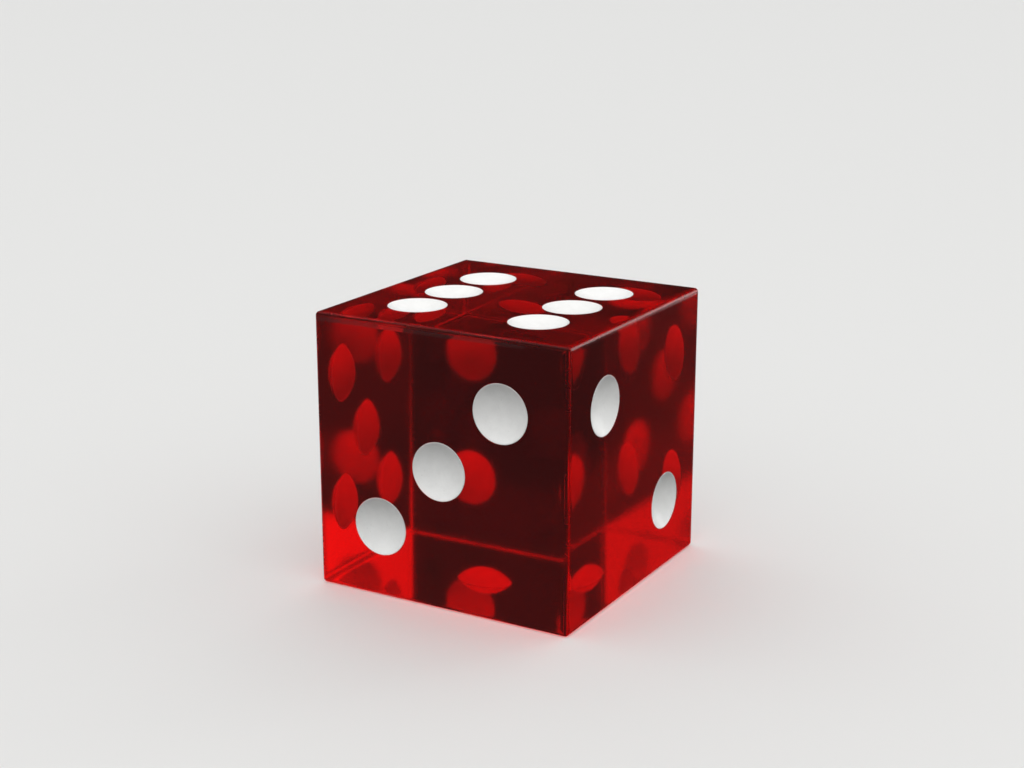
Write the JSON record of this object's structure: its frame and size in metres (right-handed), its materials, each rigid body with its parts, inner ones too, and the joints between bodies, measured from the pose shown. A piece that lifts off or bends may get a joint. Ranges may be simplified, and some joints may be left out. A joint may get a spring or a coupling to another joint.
{
  "type": "casino die",
  "caption": "Clear red casino die: a sharp-edged cube of see-through acetate with recessed white enamel pips, thrown in craps and other table games.",
  "frame": {"origin": "centre of the cube, midway between each pair of opposite faces", "axes": "+Z out of the face with six pips, -Y out of the face with three, +X out of the face with two; one, four and five are opposite"},
  "size_m": [0.019, 0.019, 0.019],
  "materials": {
    "red_acetate": "polished",
    "white_enamel": "satin"
  },
  "bodies": {
    "root": {"die_body": "red_acetate", "pip_one": "white_enamel", "pip_two_1": "white_enamel", "pip_two_2": "white_enamel", "pip_three_1": "white_enamel", "pip_three_2": "white_enamel", "pip_three_3": "white_enamel", "pip_four_1": "white_enamel", "pip_four_2": "white_enamel", "pip_four_3": "white_enamel", "pip_four_4": "white_enamel", "pip_five_1": "white_enamel", "pip_five_2": "white_enamel", "pip_five_3": "white_enamel", "pip_five_4": "white_enamel", "pip_five_5": "white_enamel", "pip_six_1": "white_enamel", "pip_six_2": "white_enamel", "pip_six_3": "white_enamel", "pip_six_4": "white_enamel", "pip_six_5": "white_enamel", "pip_six_6": "white_enamel"}
  },
  "joints": []
}
